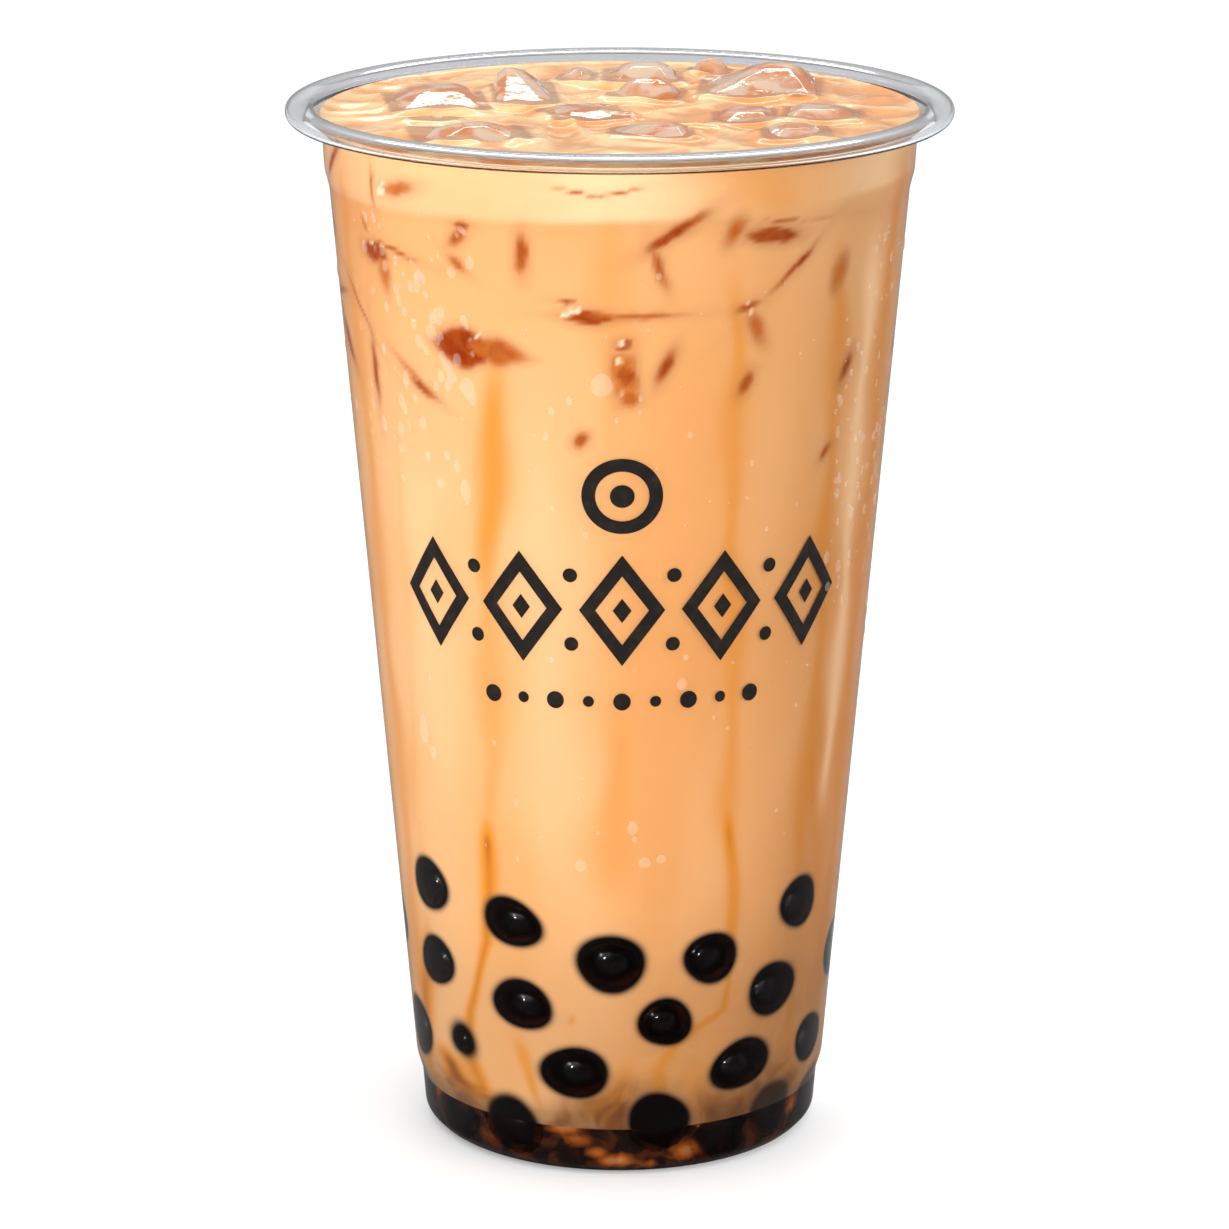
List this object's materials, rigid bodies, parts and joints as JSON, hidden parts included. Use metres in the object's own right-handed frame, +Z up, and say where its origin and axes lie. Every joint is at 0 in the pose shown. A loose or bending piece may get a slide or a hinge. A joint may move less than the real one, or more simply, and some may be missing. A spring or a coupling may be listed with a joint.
{
  "type": "bubble tea in a plastic cup",
  "caption": "Iced milk tea with dark tapioca pearls in a tall clear plastic cup with a rolled rim, a stepped neck and a stepped foot.",
  "frame": {"origin": "centre of the cup's base, on the surface that it stands on", "axes": "+Z up along the cup's axis, -Y towards the side shown in front"},
  "size_m": [0.098, 0.098, 0.1584],
  "materials": {
    "clear_plastic": "clear, glossy, thin-walled",
    "milk_tea": "opaque milky liquid with darker brown-sugar streaks",
    "tapioca": "near-black, glossy, soft",
    "syrup_pearls": "dark pearls in brown syrup, wet",
    "clear_ice": "wet, clear, slightly rounded by melting"
  },
  "bodies": {
    "root": {"cup": "clear_plastic", "ice_01": "clear_ice", "ice_02": "clear_ice", "ice_03": "clear_ice", "ice_04": "clear_ice", "ice_05": "clear_ice", "ice_06": "clear_ice", "ice_07": "clear_ice", "ice_08": "clear_ice", "ice_09": "clear_ice", "ice_10": "clear_ice", "ice_11": "clear_ice", "ice_12": "clear_ice", "ice_13": "clear_ice", "ice_14": "clear_ice", "milk_tea": "milk_tea", "pearl_01": "tapioca", "pearl_02": "tapioca", "pearl_03": "tapioca", "pearl_04": "tapioca", "pearl_05": "tapioca", "pearl_06": "tapioca", "pearl_07": "tapioca", "pearl_08": "tapioca", "pearl_09": "tapioca", "pearl_10": "tapioca", "pearl_11": "tapioca", "pearl_12": "tapioca", "pearl_13": "tapioca", "pearl_14": "tapioca", "pearl_15": "tapioca", "pearl_16": "tapioca", "pearl_17": "tapioca", "pearl_18": "tapioca", "pearl_19": "tapioca", "pearl_20": "tapioca", "pearl_21": "tapioca", "pearl_22": "tapioca", "pearl_23": "tapioca", "pearl_24": "tapioca", "pearl_25": "tapioca", "pearl_layer": "syrup_pearls"}
  },
  "joints": []
}
